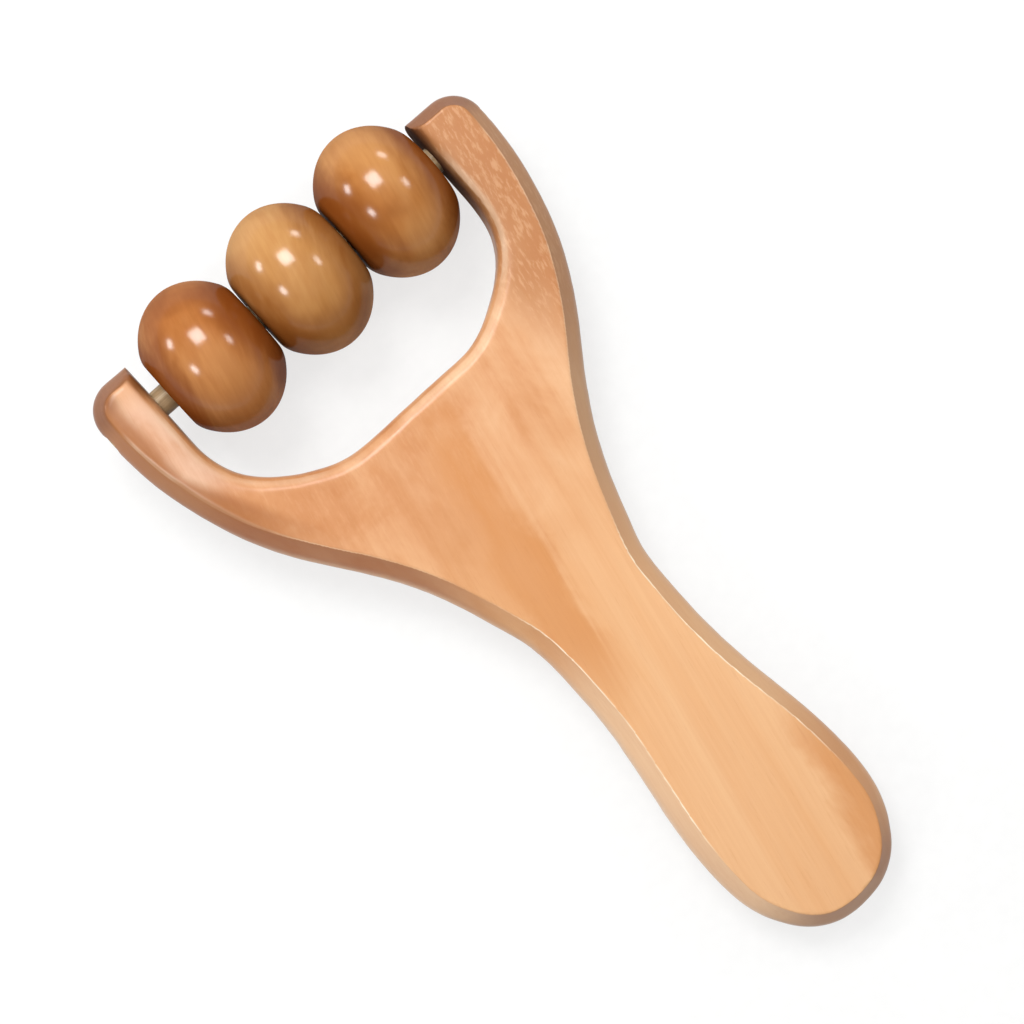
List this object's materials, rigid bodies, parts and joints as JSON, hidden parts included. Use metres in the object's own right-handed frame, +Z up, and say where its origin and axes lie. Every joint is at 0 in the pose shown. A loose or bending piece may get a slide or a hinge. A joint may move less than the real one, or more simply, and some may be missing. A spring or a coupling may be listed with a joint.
{
  "type": "massage roller",
  "caption": "Hand-held wooden massage roller: a paddle handle opening into a fork, with glossy oblate wooden beads turning on a dowel between the arms.",
  "frame": {"origin": "on the surface the roller lies on, under the middle of the whole object", "axes": "+X along the dowel, +Y from the handle towards the fork, +Z up; the beads and the end of the handle touch z = 0"},
  "size_m": [0.1201, 0.2218, 0.0395],
  "materials": {
    "handle_wood": "satin lacquer",
    "dowel_wood": "bare, sanded",
    "bead_wood": "glossy lacquer"
  },
  "bodies": {
    "handle": {"fork_handle": "handle_wood", "axle_dowel": "dowel_wood"},
    "bead_left": {"bead_left": "bead_wood"},
    "bead_middle": {"bead_middle": "bead_wood"},
    "bead_right": {"bead_right": "bead_wood"}
  },
  "joints": [
    {"name": "bead_left_spin", "type": "hinge", "parent": "handle", "child": "bead_left", "pos_m": [-0.0281, 0.09113, 0.01975], "axis": [1, 0, 0], "continuous": true},
    {"name": "bead_middle_spin", "type": "hinge", "parent": "handle", "child": "bead_middle", "pos_m": [0, 0.09113, 0.01975], "axis": [1, 0, 0], "continuous": true},
    {"name": "bead_right_spin", "type": "hinge", "parent": "handle", "child": "bead_right", "pos_m": [0.0281, 0.09113, 0.01975], "axis": [1, 0, 0], "continuous": true}
  ]
}
